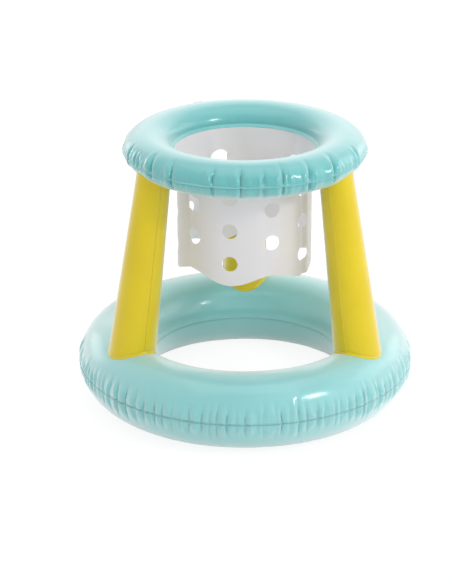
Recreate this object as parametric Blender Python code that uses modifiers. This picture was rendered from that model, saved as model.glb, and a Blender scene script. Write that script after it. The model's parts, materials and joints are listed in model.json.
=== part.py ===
# Inflatable basketball hoop for the pool: a floating base ring, three leaning legs, a hoop ring and a net.
# Metres, +Z up. The origin is on the floor at the middle of the base ring, and the net's front faces -Y.

import math

import bmesh
import bpy
from mathutils import Matrix, Vector

# Overall size
overall_width = 0.67
overall_height = 0.55

# Film and the air left between pieces that touch
film = 0.0003
net_film = 0.0004
gap = 0.0003
overrun = 0.002
weld_distance = 0.00001
smooth_angle = math.radians(30)

# Base ring: the tube as inflated, and the weld flanges where its two panels meet
base_tube_width = 0.1424
base_tube_height = 0.146
base_outer_flange = 0.0025
base_inner_flange = 0.0025
base_sides = 48
base_panel_facets = 7

# Hoop ring: its inner flange slopes down into the hoop and carries the net
hoop_diameter = 0.476
hoop_tube_width = 0.0903
hoop_tube_height = 0.0696
hoop_outer_flange = 0.0015
hoop_inner_flange = 0.0085
hoop_flange_slope = math.radians(35)
hoop_sides = 48
hoop_panel_facets = 7

# Legs: tapered tubes that lean inward, one behind and two in front. A foot's middle lies inside the middle of
# the base tube, and a head's middle outside the middle of the hoop tube.
leg_azimuths = {"back_leg": math.radians(90), "left_leg": math.radians(210), "right_leg": math.radians(330)}
leg_foot_inset = 0.0078
leg_head_outset = 0.01215
leg_foot_radius = 0.0462
leg_head_radius = 0.0335
leg_foot_lip = 0.0042
leg_head_lip = 0.0015
leg_head_climb = 0.032
leg_sides = 24
vent_radius = 0.006
blank_steps = 6

# Net: a collar under the hoop's inner flange, a wall that falls nearly straight, and a scalloped hem. Insets
# are taken from the hoop tube's inner seam, and drops from the height of the hoop's middle.
net_collar_start = 0.0015
net_collar_end = 0.0075
net_wall_inset = 0.0150
net_waist_drop = 0.060
net_hem_drop = 0.2316
net_scallop = 0.0104
net_scallops = 5
net_fold_depth = 0.0011
net_folds = 7
net_fold_turn = math.radians(136)
net_sway_depth = 0.0009
net_sways = 4
net_sway_turn = math.radians(200)
net_sides = 48
net_lower_rows = 2

# Punched holes of the net: columns of three and two holes, turn by turn
hole_radius = 0.0152
hole_columns = 10
hole_first_column = math.radians(-103)
hole_rows = 3
hole_top_drop = 0.0617
hole_pitch = 0.0673
hole_stagger = 0.0245
hole_sides = 10

# Valves: a welded flange, a stem that pushes in flush, a tethered stopper and a non-return flap
valve_flange_radius = 0.015
valve_flange_thickness = 0.0008
valve_film_clearance = 0.0006
stem_radius = 0.005
stem_wall = 0.0016
stem_length = 0.015
collar_lip = 0.0012
collar_thickness = 0.0008
tether_length = 0.004
tether_width = 0.004
tether_thickness = 0.0008
cap_overlap = 0.0024
cap_thickness = 0.0012
plug_clearance = 0.0004
plug_taper = 0.0008
plug_length = 0.0035
pull_tab_length = 0.004
flap_overlap = 0.0011
flap_thickness = 0.0004
valve_sides = 20
base_valve_side = 8
base_valve_facet = 5
hoop_valve_side = 15
hoop_valve_facet = 5
valve_blank_steps = 5

# Colours: pale mint and yellow PVC, white vinyl, and milky valve mouldings
finishes = {
    "mint_film": {"colour": (0.42, 0.76, 0.74, 1), "roughness": 0.22},
    "yellow_film": {"colour": (0.86, 0.68, 0.10, 1), "roughness": 0.25},
    "white_vinyl": {"colour": (0.84, 0.84, 0.84, 1), "roughness": 0.40},
    "valve_plastic": {"colour": (0.80, 0.86, 0.85, 1), "roughness": 0.35},
}


# Scene helpers
def clear_scene():
    for thing in list(bpy.data.objects):
        bpy.data.objects.remove(thing, do_unlink=True)


def new_collection(name):
    collection = bpy.data.collections.new(name)
    bpy.context.scene.collection.children.link(collection)
    return collection


def new_object(name, mesh, collection):
    thing = bpy.data.objects.new(name, mesh)
    collection.objects.link(thing)
    return thing


def make_materials():
    made = {}
    for name, finish in finishes.items():
        material = bpy.data.materials.new(name)
        material.use_nodes = True
        shader = material.node_tree.nodes["Principled BSDF"]
        shader.inputs["Base Color"].default_value = finish["colour"]
        shader.inputs["Roughness"].default_value = finish["roughness"]
        shader.inputs["Metallic"].default_value = 0
        material.diffuse_color = finish["colour"]
        made[name] = material
    return made


def own_material(thing, kind):
    material = materials[kind].copy()
    material.name = thing.name
    thing.data.materials.clear()
    thing.data.materials.append(material)


def as_cutter(thing):
    thing.hide_render = True
    thing.display_type = "WIRE"
    return thing


def new_cutter(name, mesh):
    return as_cutter(new_object(name, mesh, cutters))


def boolean(thing, operation, other):
    modifier = thing.modifiers.new(operation.lower(), "BOOLEAN")
    modifier.operation = operation
    modifier.solver = "EXACT"
    modifier.object = other


def baked_mesh(thing):
    bpy.context.view_layer.update()
    graph = bpy.context.evaluated_depsgraph_get()
    mesh = bpy.data.meshes.new_from_object(thing.evaluated_get(graph))
    mesh.transform(thing.matrix_world)
    return mesh


# Turned shapes: a profile in the XZ plane that runs from the inner seam over the tube, spun by Screw
def polyline_mesh(name, points, closed):
    mesh = bpy.data.meshes.new(name)
    edges = [(i, i + 1) for i in range(len(points) - 1)]
    if closed:
        edges.append((len(points) - 1, 0))
    mesh.from_pydata([(radius, 0, height) for radius, height in points], edges, [])
    return mesh


def turned(name, points, sides, collection, closed=False, steps=None):
    thing = new_object(name, polyline_mesh(name, points, closed), collection)
    screw = thing.modifiers.new("turn", "SCREW")
    screw.axis = "Z"
    screw.steps = steps or sides
    screw.render_steps = screw.steps
    screw.angle = math.tau * screw.steps / sides
    screw.use_merge_vertices = steps is None
    screw.merge_threshold = weld_distance
    return thing


def thicken(thing, thickness, side=-1):
    # side -1 grows the film inward from the turned surface, and side 1 outward
    solidify = thing.modifiers.new("film", "SOLIDIFY")
    solidify.thickness = thickness
    solidify.offset = side
    solidify.use_even_offset = True


def offset_profile(points, distance):
    moved = []
    for i, point in enumerate(points):
        before = points[max(i - 1, 0)]
        after = points[min(i + 1, len(points) - 1)]
        sides = [(point, after)] if i == 0 else [(before, point)]
        if 0 < i < len(points) - 1:
            sides.append((point, after))
        normals = []
        for start, end in sides:
            run = Vector((end[0] - start[0], end[1] - start[1])).normalized()
            normals.append(Vector((-run.y, run.x)))
        mitre = sum(normals, Vector((0, 0))) / len(normals)
        moved.append(tuple(Vector(point) + mitre * distance / mitre.length_squared))
    return moved


# The rings
def ring_values(outer_radius, tube_width, tube_height, middle_height, outer_flange, inner_flange, slope,
                sides, facets):
    half_width = tube_width / 2
    centre = outer_radius - outer_flange - half_width
    return {
        "centre": centre,
        "middle": middle_height,
        "seam_radius": centre - half_width,
        "half_width": half_width,
        "half_height": tube_height / 2,
        "outer_flange": outer_flange,
        "inner_flange": inner_flange,
        "slope": slope,
        "sides": sides,
        "facets": facets,
    }


def inner_seam(ring, along, above):
    # a point beside the inner seam: so far along the flange, and so far square to it
    along_flange = Vector((-math.cos(ring["slope"]), -math.sin(ring["slope"])))
    square = Vector((-along_flange.y, along_flange.x)) * -1
    corner = Vector((ring["seam_radius"], ring["middle"]))
    return tuple(corner + along_flange * along + square * above)


def body_points(ring, side):
    # the tube's half above (side 1) or below (side -1) the seams, from the inner seam to the outer one
    lift = gap / 2 + film
    fullness = ring["half_height"] / math.cos(math.pi / 2 / ring["facets"])
    points = [inner_seam(ring, 0, side * lift)]
    for i in range(ring["facets"] - 1, 0, -1):
        turn = math.pi * i / ring["facets"]
        points.append((ring["centre"] + ring["half_width"] * math.cos(turn),
                       ring["middle"] + side * fullness * math.sin(turn)))
    points.append((ring["centre"] + ring["half_width"], ring["middle"] + side * lift))
    return points


def panel_points(ring, side):
    lift = gap / 2 + film
    rim = ring["centre"] + ring["half_width"] + ring["outer_flange"]
    points = [inner_seam(ring, ring["inner_flange"], side * lift)]
    points += body_points(ring, side)
    points.append((rim, ring["middle"] + side * lift))
    return points if side > 0 else points[::-1]


def skin_points(ring, side, distance):
    # the tube's half, moved off its surface by a distance, in the order that faces outward
    points = body_points(ring, side)
    return offset_profile(points if side > 0 else points[::-1], distance)


def make_panel(name, ring, side):
    panel = turned(name, panel_points(ring, side), ring["sides"], parts)
    thicken(panel, film)
    own_material(panel, "mint_film")
    return panel


def skin_blank(name, ring, side, distance, thickness, steps, start_side):
    # a piece of film that follows the ring's facets at a distance, from which patches are cut
    points = skin_points(ring, side, distance + thickness)
    blank = turned(name, points, ring["sides"], cutters, steps=steps)
    thicken(blank, thickness)
    blank.rotation_euler.z = math.tau * start_side / ring["sides"]
    return as_cutter(blank)


def skin_solid(name, ring, distance):
    outline = skin_points(ring, 1, distance) + skin_points(ring, -1, distance)
    solid = turned(name, outline, ring["sides"], cutters, closed=True)
    return as_cutter(solid)


def surface_height(ring, side, radius):
    points = sorted(body_points(ring, side))
    for (inner, low), (outer, high) in zip(points, points[1:]):
        if inner <= radius <= outer:
            return low + (high - low) * (radius - inner) / (outer - inner)
    return ring["middle"]


# Round pieces along an axis
def axis_frame(start, direction):
    # a frame with Z along the direction and Y kept level
    level = Vector((0, 1, 0))
    frame = Matrix((level.cross(direction).normalized(), level, direction)).transposed().to_4x4()
    frame.translation = start
    return frame


def cone_blank(name, frame, from_length, to_length, from_radius, to_radius, sides):
    mesh = bpy.data.meshes.new(name)
    shape = bmesh.new()
    bmesh.ops.create_cone(shape, cap_ends=True, segments=sides, radius1=from_radius, radius2=to_radius,
                          depth=to_length - from_length)
    half_side = Matrix.Rotation(math.pi / sides, 4, "Z")
    bmesh.ops.transform(shape, matrix=half_side, verts=shape.verts)
    shape.to_mesh(mesh)
    shape.free()
    thing = new_cutter(name, mesh)
    thing.matrix_world = frame @ Matrix.Translation((0, 0, (from_length + to_length) / 2))
    return thing


def box_blank(name, low, high):
    mesh = bpy.data.meshes.new(name)
    shape = bmesh.new()
    bmesh.ops.create_cube(shape, size=1)
    low, high = Vector(low), Vector(high)
    bmesh.ops.scale(shape, vec=high - low, verts=shape.verts)
    bmesh.ops.translate(shape, vec=(low + high) / 2, verts=shape.verts)
    shape.to_mesh(mesh)
    shape.free()
    return new_cutter(name, mesh)


# Legs: one leg is made at azimuth 0, and its meshes are shared by the three that stand round the rings
def make_legs(vented_panel):
    foot_circle = base_ring["centre"] - leg_foot_inset
    head_circle = hoop_ring["centre"] + leg_head_outset
    foot = Vector((foot_circle, 0, surface_height(base_ring, 1, foot_circle)))
    head = Vector((head_circle, 0, surface_height(hoop_ring, -1, head_circle)))
    frame = axis_frame(foot, (head - foot).normalized())
    length = (head - foot).length
    taper = (leg_head_radius - leg_foot_radius) / length
    foot_reach = base_ring["half_height"]
    layer = film + gap

    def leg_cone(name, inset, margin):
        low, high = -foot_reach - margin, length + leg_head_climb + margin
        radii = [leg_foot_radius + taper * s - inset for s in (low, high)]
        return cone_blank(name, frame, low, high, *radii, leg_sides)

    def rim_cylinder(name, at, reach, radius):
        return cone_blank(name, frame, at - reach, at + reach, radius, radius, leg_sides)

    def patch(name, ring, side, layers, cylinder):
        blank = skin_blank(name, ring, side, gap + layers * layer, film, blank_steps, -(blank_steps // 2))
        boolean(blank, "INTERSECT", cylinder)
        return blank

    foot_rim = rim_cylinder("foot_rim", 0, foot_reach, leg_foot_radius + leg_foot_lip)
    head_rim = rim_cylinder("head_rim", length, leg_head_climb, leg_head_radius + leg_head_lip)
    foot_disc = patch("foot_disc", base_ring, 1, 0, foot_rim)
    head_disc = patch("head_disc", hoop_ring, -1, 0, head_rim)
    foot_lip = patch("foot_lip", base_ring, 1, 1, foot_rim)
    head_lip = patch("head_lip", hoop_ring, -1, 1, head_rim)
    vent = rim_cylinder("vent", length, leg_head_climb / 2, vent_radius)
    boolean(head_disc, "DIFFERENCE", vent)

    tube = leg_cone("leg_tube", 0, 0)
    trim = gap + layer + film / 2
    boolean(tube, "DIFFERENCE", skin_solid("base_trim", base_ring, trim))
    boolean(tube, "DIFFERENCE", skin_solid("hoop_trim", hoop_ring, trim))
    boolean(tube, "UNION", foot_lip)
    boolean(tube, "UNION", head_lip)
    boolean(tube, "DIFFERENCE", leg_cone("leg_bore", film, overrun))

    # the tube is parted by two boxes, with a gap between them along the leg's two sides
    reach = leg_foot_radius + leg_foot_lip + overrun
    bottom = -foot_reach - reach
    top = length + leg_head_climb + reach
    outer_box = box_blank("outer_box", (gap / 2, -reach, bottom), (reach, reach, top))
    inner_box = box_blank("inner_box", (-reach, -reach, bottom), (-gap / 2, reach, top))
    meshes = {"foot_disc": baked_mesh(foot_disc), "head_disc": baked_mesh(head_disc)}
    for half, box in (("outer_panel", outer_box), ("inner_panel", inner_box)):
        box.matrix_world = frame
        piece = new_cutter("leg_" + half, baked_mesh(tube))
        boolean(piece, "INTERSECT", box)
        meshes[half] = baked_mesh(piece)

    for leg, azimuth in leg_azimuths.items():
        for piece, mesh in meshes.items():
            thing = new_object(leg + "_" + piece, mesh.copy(), parts)
            thing.rotation_euler.z = azimuth
            own_material(thing, "yellow_film")
        hole = new_cutter(leg + "_vent", vent.data)
        hole.matrix_world = Matrix.Rotation(azimuth, 4, "Z") @ vent.matrix_world
        boolean(vented_panel, "DIFFERENCE", hole)


# Net
def net_values():
    return {
        "waist": hoop_ring["middle"] - net_waist_drop,
        "hem": hoop_ring["middle"] - net_hem_drop,
        "wall_radius": hoop_ring["seam_radius"] - net_wall_inset,
    }


def net_profile(sizes):
    lift = -(gap / 2 + film + gap)
    points = [inner_seam(hoop_ring, net_collar_start, lift), inner_seam(hoop_ring, net_collar_end, lift)]
    for i in range(net_lower_rows + 1):
        share = i / net_lower_rows
        points.append((sizes["wall_radius"], sizes["waist"] + (sizes["hem"] - sizes["waist"]) * share))
    return points


def shape_net(mesh, sizes):
    # below the waist the wall swings in and out, and the hem's scallops grow from nothing at the waist
    for vertex in mesh.vertices:
        radius, height = math.hypot(vertex.co.x, vertex.co.y), vertex.co.z
        if height > sizes["waist"]:
            continue
        azimuth = math.atan2(vertex.co.y, vertex.co.x)
        hang_share = (sizes["waist"] - height) / (sizes["waist"] - sizes["hem"])
        radius += net_fold_depth * math.cos(net_folds * (azimuth - net_fold_turn))
        radius += net_sway_depth * math.cos(net_sways * (azimuth - net_sway_turn))
        height -= net_scallop * math.cos(net_scallops * (azimuth - hole_first_column)) * hang_share
        vertex.co = (radius * math.cos(azimuth), radius * math.sin(azimuth), height)


def make_hole_cutter(sizes):
    # every second column is one hole shorter and starts lower down
    depth = 2 * (hole_radius + net_fold_depth + net_sway_depth + overrun)
    shape = bmesh.new()
    for column in range(hole_columns):
        azimuth = hole_first_column + math.tau * column / hole_columns
        short = column % 2
        for row in range(hole_rows - short):
            height = hoop_ring["middle"] - hole_top_drop - short * hole_stagger - row * hole_pitch
            place = (Matrix.Rotation(azimuth, 4, "Z") @ Matrix.Translation((sizes["wall_radius"], 0, height))
                     @ Matrix.Rotation(math.pi / 2, 4, "Y"))
            bmesh.ops.create_cone(shape, cap_ends=True, segments=hole_sides, radius1=hole_radius,
                                  radius2=hole_radius, depth=depth, matrix=place)
    mesh = bpy.data.meshes.new("net_holes")
    shape.to_mesh(mesh)
    shape.free()
    return new_cutter("net_holes", mesh)


def make_net():
    sizes = net_values()
    sheet = turned("net_sheet", net_profile(sizes), net_sides, cutters)
    mesh = baked_mesh(as_cutter(sheet))
    shape_net(mesh, sizes)
    net = new_object("net", mesh, parts)
    thicken(net, net_film, 1)
    boolean(net, "DIFFERENCE", make_hole_cutter(sizes))
    own_material(net, "white_vinyl")


# Valves
def valve_place(ring, side_number, facet):
    # the middle of one flat facet of the ring's upper panel, with Z square to it and X along the ring
    half_turn = math.pi / ring["sides"]
    azimuth = (2 * side_number + 1) * half_turn
    (near, low), (far, high) = body_points(ring, 1)[facet:facet + 2]
    shrink = math.cos(half_turn)
    outward = Vector((math.cos(azimuth), math.sin(azimuth), 0))
    up = Vector((0, 0, 1))
    normal = (outward * (low - high) + up * (far - near) * shrink).normalized()
    along = Vector((-math.sin(azimuth), math.cos(azimuth), 0))
    place = Matrix((along, normal.cross(along), normal)).transposed().to_4x4()
    place.translation = outward * (near + far) / 2 * shrink + up * (low + high) / 2
    return place


def joined(name, pieces, cuts, place):
    # the first piece with the others united to it and the cuts taken out, all built around the valve's axis
    main = pieces[0]
    for other in pieces[1:]:
        boolean(main, "UNION", other)
    for other in cuts:
        boolean(main, "DIFFERENCE", other)
    thing = new_object(name, baked_mesh(main), parts)
    thing.matrix_world = place
    own_material(thing, "valve_plastic")
    return thing


def hinge_at(thing, place, pivot):
    # the origin moves to the pivot, and the shape stays where it is
    thing.data.transform(Matrix.Translation(-pivot))
    thing.matrix_world = place @ Matrix.Translation(pivot)


def make_valve(prefix, ring, side_number, facet, panel):
    place = valve_place(ring, side_number, facet)
    stem_bore = stem_radius - stem_wall
    collar_radius = stem_radius + collar_lip
    cap_radius = stem_bore + cap_overlap
    plug_radius = stem_bore - plug_clearance
    flap_radius = stem_bore + flap_overlap
    pivot_reach = collar_radius + tether_length
    half_tether = tether_width / 2

    flange_top = gap + valve_flange_thickness
    collar_low = flange_top + gap
    collar_top = collar_low + collar_thickness
    cap_low = collar_top + gap
    cap_top = cap_low + cap_thickness
    stem_end = flange_top - stem_length
    flap_top = stem_end - gap

    def post(name, low, high, low_radius, high_radius):
        return cone_blank(prefix + name, Matrix(), low, high, low_radius, high_radius, valve_sides)

    def strip(name, near, far, low):
        high = low + tether_thickness
        return box_blank(prefix + name, (near, -half_tether, low), (far, half_tether, high))

    def bore(name, radius, sides):
        reach = valve_flange_radius
        return cone_blank(prefix + name, place, -reach, reach, radius, radius, sides)

    # the flange follows the film, and the film has a hole for the stem
    start_side = side_number - valve_blank_steps // 2
    flange = skin_blank(prefix + "_flange_blank", ring, 1, gap, valve_flange_thickness, valve_blank_steps,
                        start_side)
    flange_hole = stem_radius + gap
    boolean(flange, "INTERSECT", bore("_flange_rim", valve_flange_radius, valve_sides * 2))
    boolean(flange, "DIFFERENCE", bore("_flange_hole", flange_hole, valve_sides))
    boolean(panel, "DIFFERENCE", bore("_film_hole", flange_hole + valve_film_clearance, valve_sides))
    welded = new_object(prefix + "_flange", baked_mesh(flange), parts)
    own_material(welded, "valve_plastic")

    # the stem slides along the valve's axis, and its collar stops on the flange
    tube = post("_stem_tube", stem_end, collar_top, stem_radius, stem_radius)
    collar = post("_stem_collar", collar_low, collar_top, collar_radius, collar_radius)
    lug = strip("_lug", stem_radius, pivot_reach, collar_low)
    stem_hole = post("_stem_hole", stem_end - overrun, collar_top + overrun, stem_bore, stem_bore)
    joined(prefix + "_stem", [tube, collar, lug], [stem_hole], place)

    # the stopper turns on its tether, whose pivot lies between the lug and the strap
    cap = post("_cap", cap_low, cap_top, cap_radius, cap_radius)
    tip_radius = plug_radius - plug_taper
    plug = post("_plug", cap_low - plug_length, (cap_low + cap_top) / 2, tip_radius, plug_radius)
    strap = strip("_strap", plug_radius, pivot_reach - gap, cap_low)
    pull_tab = strip("_pull_tab", -cap_radius - pull_tab_length, -plug_radius, cap_low)
    stopper = joined(prefix + "_stopper", [cap, plug, strap, pull_tab], [], place)
    hinge_at(stopper, place, Vector((pivot_reach, 0, cap_low - gap / 2)))

    # the flap hangs from the inner end of the stem and opens into the air chamber
    disc = post("_flap_disc", flap_top - flap_thickness, flap_top, flap_radius, flap_radius)
    flap = joined(prefix + "_flap", [disc], [], place)
    hinge_at(flap, place, Vector((-flap_radius, 0, flap_top)))


# Build
clear_scene()
parts = new_collection("floating_basketball_hoop")
cutters = new_collection("cutters")
materials = make_materials()

base_middle = base_tube_height / 2
hoop_middle = overall_height - hoop_tube_height / 2
base_ring = ring_values(overall_width / 2, base_tube_width, base_tube_height, base_middle, base_outer_flange,
                        base_inner_flange, 0, base_sides, base_panel_facets)
hoop_ring = ring_values(hoop_diameter / 2, hoop_tube_width, hoop_tube_height, hoop_middle, hoop_outer_flange,
                        hoop_inner_flange, hoop_flange_slope, hoop_sides, hoop_panel_facets)

base_upper = make_panel("base_ring_upper_panel", base_ring, 1)
make_panel("base_ring_lower_panel", base_ring, -1)
hoop_upper = make_panel("hoop_ring_upper_panel", hoop_ring, 1)
hoop_lower = make_panel("hoop_ring_lower_panel", hoop_ring, -1)
make_legs(hoop_lower)
make_net()
make_valve("base_valve", base_ring, base_valve_side, base_valve_facet, base_upper)
make_valve("hoop_valve", hoop_ring, hoop_valve_side, hoop_valve_facet, hoop_upper)

for part in parts.objects:
    part.data.shade_smooth()
    part.data.set_sharp_from_angle(angle=smooth_angle)
    print(part.name, [round(size, 4) for size in part.dimensions])
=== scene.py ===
# Looks of the floating basketball hoop: two film rings, three leaning legs, a punched net and two push-in
# valves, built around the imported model. Metres, +Z up, and the net's front faces -Y.

import json
import math

import bmesh
import bpy
from mathutils import Matrix, Vector
from mathutils.bvhtree import BVHTree


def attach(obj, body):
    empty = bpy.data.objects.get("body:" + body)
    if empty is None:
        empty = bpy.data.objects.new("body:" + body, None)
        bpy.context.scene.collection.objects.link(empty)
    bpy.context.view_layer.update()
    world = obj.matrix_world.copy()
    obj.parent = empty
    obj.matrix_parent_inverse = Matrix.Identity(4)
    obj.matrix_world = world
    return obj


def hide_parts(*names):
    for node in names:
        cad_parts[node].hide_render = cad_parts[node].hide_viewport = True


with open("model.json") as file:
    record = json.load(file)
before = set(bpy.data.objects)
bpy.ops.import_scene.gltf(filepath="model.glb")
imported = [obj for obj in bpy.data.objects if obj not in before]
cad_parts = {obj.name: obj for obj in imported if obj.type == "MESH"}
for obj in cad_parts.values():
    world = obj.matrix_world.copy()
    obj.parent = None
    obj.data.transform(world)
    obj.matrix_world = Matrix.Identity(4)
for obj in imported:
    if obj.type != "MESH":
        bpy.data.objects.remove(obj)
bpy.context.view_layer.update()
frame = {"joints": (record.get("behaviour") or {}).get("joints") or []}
print("frame loaded")

# the film's gauge, the room between two films, and how far each panel stands off its seam's middle plane
film = {"thickness": 0.0003, "gap": 0.0003}
film["layer"] = film["thickness"] + film["gap"]
film["lift"] = film["gap"] / 2 + film["thickness"]


# A number in a node tree, so that a formula reads as it is written
class Term:
    def __init__(self, tree, socket):
        self.tree = tree
        self.socket = socket

    def math(self, operation, *others):
        node = self.tree.nodes.new("ShaderNodeMath")
        node.operation = operation
        for slot, value in zip(node.inputs, (self,) + others):
            feed(self.tree, slot, value)
        return Term(self.tree, node.outputs[0])

    def __add__(self, other):
        return self.math("ADD", other)

    __radd__ = __add__

    def __sub__(self, other):
        return self.math("SUBTRACT", other)

    def __rsub__(self, other):
        return (self * -1) + other

    def __mul__(self, other):
        return self.math("MULTIPLY", other)

    __rmul__ = __mul__

    def __truediv__(self, other):
        return self.math("DIVIDE", other)

    def __neg__(self):
        return self * -1

    def sin(self):
        return self.math("SINE")

    def cos(self):
        return self.math("COSINE")

    def absolute(self):
        return self.math("ABSOLUTE")

    def ease(self, low, high, start=0.0, end=1.0, kind="SMOOTHSTEP"):
        node = self.tree.nodes.new("ShaderNodeMapRange")
        node.interpolation_type = kind
        for slot, value in zip(node.inputs, (self, low, high, start, end)):
            feed(self.tree, slot, value)
        return Term(self.tree, node.outputs[0])


def feed(tree, slot, value):
    if isinstance(value, Term):
        tree.links.new(value.socket, slot)
    else:
        slot.default_value = value


def addNode(tree, kind, values=None, **settings):
    node = tree.nodes.new(kind)
    for name, value in settings.items():
        setattr(node, name, value)
    for name, value in (values or {}).items():
        slot = next(socket for socket in node.inputs if socket.name == name and socket.enabled)
        feed(tree, slot, value)
    return node


def result(node, name=None):
    for socket in node.outputs:
        if socket.enabled and name in (None, socket.name):
            return Term(node.id_data, socket)


def ringSpot(tree, azimuth, radius, height):
    # a point given by its azimuth, its distance from the upright axis and its height
    return result(addNode(tree, "ShaderNodeCombineXYZ", {"X": azimuth.cos() * radius,
                                                         "Y": azimuth.sin() * radius, "Z": height}))


def newTree(name, sizes, output, kind="NodeSocketGeometry"):
    tree = bpy.data.node_groups.new(name, "GeometryNodeTree")
    for label, socketKind in sizes:
        tree.interface.new_socket(label, in_out="INPUT", socket_type=socketKind)
    tree.interface.new_socket(output, in_out="OUTPUT", socket_type=kind)
    source = tree.nodes.new("NodeGroupInput")
    return tree, {label: Term(tree, source.outputs[label]) for label, socketKind in sizes}


def endTree(tree, value):
    sink = tree.nodes.new("NodeGroupOutput")
    tree.links.new(value.socket, sink.inputs[0])


def endGeometry(tree, geometry, finish):
    real = addNode(tree, "GeometryNodeRealizeInstances", {"Geometry": geometry})
    painted = addNode(tree, "GeometryNodeSetMaterial", {"Geometry": result(real), "Material": finish})
    endTree(tree, result(painted))
    return tree


def addTree(piece, tree, sizes):
    modifier = piece.modifiers.new(tree.name, "NODES")
    modifier.node_group = tree
    for item in tree.interface.items_tree:
        if item.in_out == "INPUT" and item.name in sizes:
            modifier[item.identifier] = sizes[item.name]


def newPiece(name, data):
    piece = bpy.data.objects.new(name, data)
    bpy.context.scene.collection.objects.link(piece)
    return piece


def polar(azimuth, radius, height):
    return Vector((radius * math.cos(azimuth), radius * math.sin(azimuth), height))


def gridFaces(lines, spots, ringed=True, looped=False):
    # faces between neighbouring lines of points: a ringed line closes on itself, and looped lines close too
    faces = []
    for i in range(lines if looped else lines - 1):
        m = (i + 1) % lines
        for j in range(spots if ringed else spots - 1):
            k = (j + 1) % spots
            faces.append((i * spots + j, m * spots + j, m * spots + k, i * spots + k))
    return faces


def pieceFromFaces(name, points, faces):
    mesh = bpy.data.meshes.new(name)
    mesh.from_pydata(points, [], faces)
    return newPiece(name, mesh)


def pieceFromShape(name, shape):
    mesh = bpy.data.meshes.new(name)
    shape.to_mesh(mesh)
    shape.free()
    return newPiece(name, mesh)


def bake(piece):
    # what the modifiers make becomes the piece's own plain mesh
    bpy.context.view_layer.update()
    graph = bpy.context.evaluated_depsgraph_get()
    mesh = bpy.data.meshes.new_from_object(piece.evaluated_get(graph))
    piece.modifiers.clear()
    piece.data = mesh
    mesh.name = piece.name
    return piece


def cut(piece, others, operation="DIFFERENCE"):
    for other in others:
        modifier = piece.modifiers.new("cut", "BOOLEAN")
        modifier.operation = operation
        modifier.solver = "MANIFOLD"
        modifier.object = other
    bake(piece)
    for other in others:
        bpy.data.objects.remove(other)


def thicken(piece, thickness, even=True):
    # the sheet grows inward from its outer face
    solidify = piece.modifiers.new("film", "SOLIDIFY")
    solidify.thickness = thickness
    solidify.offset = -1
    solidify.use_even_offset = even


def finishPiece(piece, node, slot, body="inflated_toy", angle=40):
    # a cut leaves an empty slot behind, so the one finish is set again; edges from angle on stay sharp
    finish = next((material for material in piece.data.materials if material), finishes[slot])
    piece.data.materials.clear()
    piece.data.materials.append(finish)
    piece.data.shade_smooth()
    piece.data.set_sharp_from_angle(angle=math.radians(angle))
    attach(piece, body)
    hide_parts(node)


# Materials
def newMaterial(name):
    material = bpy.data.materials.new(name)
    material.use_nodes = True
    return material, material.node_tree, material.node_tree.nodes["Principled BSDF"]


def noise(tree, place, scale, detail):
    node = addNode(tree, "ShaderNodeTexNoise", {"Vector": place, "Scale": scale, "Detail": detail})
    return result(node, "Fac")


def blendColour(tree, share, first, second):
    node = addNode(tree, "ShaderNodeMix", data_type="RGBA")
    feed(tree, node.inputs["Factor"], share)
    colours = [socket for socket in node.inputs if socket.type == "RGBA"]
    for slot, colour in zip(colours, (first, second)):
        feed(tree, slot, colour if isinstance(colour, Term) else (*colour, 1))
    return Term(tree, next(socket for socket in node.outputs if socket.type == "RGBA"))


def filmMaterial(name, look):
    # calendered PVC: faint clouds in the colour, a soft orange peel, and a painted highlight that lightens
    # the welded flanges, fins and lips
    material, tree, shader = newMaterial(name)
    place = result(addNode(tree, "ShaderNodeTexCoord"), "Object")
    clouds = noise(tree, place, look["cloudScale"], 3)
    peel = noise(tree, place, look["peelScale"], 2)
    grain = noise(tree, place, look["grainScale"], 1)
    weldHighlight = result(addNode(tree, "ShaderNodeAttribute", attribute_name="weldHighlight"), "Fac")
    tint = blendColour(tree, clouds.ease(*look["cloudSpan"]), look["deep"], look["colour"])
    # painted highlight: the welds are lightened towards a paler colour, standing in for the glint on their
    # edges
    tint = blendColour(tree, weldHighlight.ease(0, 1, 0, look["weldHighlightShare"]), tint, look["pale"])
    tree.links.new(tint.socket, shader.inputs["Base Color"])
    shine = look["roughness"] + (clouds - 0.5) * look["roughnessSpread"] + grain * look["grainRoughness"]
    tree.links.new(shine.socket, shader.inputs["Roughness"])
    plain = {"Specular IOR Level": "specular", "Coat Weight": "coat", "Coat Roughness": "coatRoughness",
             "Coat IOR": "coatBend", "Sheen Weight": "bloom", "Sheen Roughness": "bloomRoughness",
             "Subsurface Weight": "translucent", "Subsurface Scale": "translucentDepth"}
    for socket, word in plain.items():
        shader.inputs[socket].default_value = look[word]
    shader.inputs["Subsurface Radius"].default_value = (1.0, 1.0, 1.0)
    relief = peel * look["peelHeight"] + grain * look["grainHeight"]
    bump = addNode(tree, "ShaderNodeBump", {"Distance": look["reliefDepth"], "Height": relief})
    tree.links.new(bump.outputs["Normal"], shader.inputs["Normal"])
    return material


# bloom is the milky veil that clear PVC shows at grazing angles, and coat its gloss
mintLook = {
    "colour": (0.084, 0.438, 0.444),
    "deep": (0.072, 0.416, 0.420),
    # the next two lines set the painted highlight on the welds: its paler colour, and how far the welds go
    # towards it
    "pale": (0.58, 0.88, 0.86),
    "weldHighlightShare": 0.9,
    "roughness": 0.43,
    "roughnessSpread": 0.06,
    "grainRoughness": 0.04,
    "specular": 0.30,
    "coat": 0.9,
    "coatRoughness": 0.19,
    "coatBend": 1.6,
    "bloom": 0.66,
    "bloomRoughness": 0.60,
    "translucent": 0.0,
    "translucentDepth": 0.002,
    "cloudSpan": (0.3, 0.7),
    "cloudScale": 9.0,
    "peelScale": 60.0,
    "grainScale": 900.0,
    "peelHeight": 0.35,
    "grainHeight": 0.02,
    "reliefDepth": 0.001,
}
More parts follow.
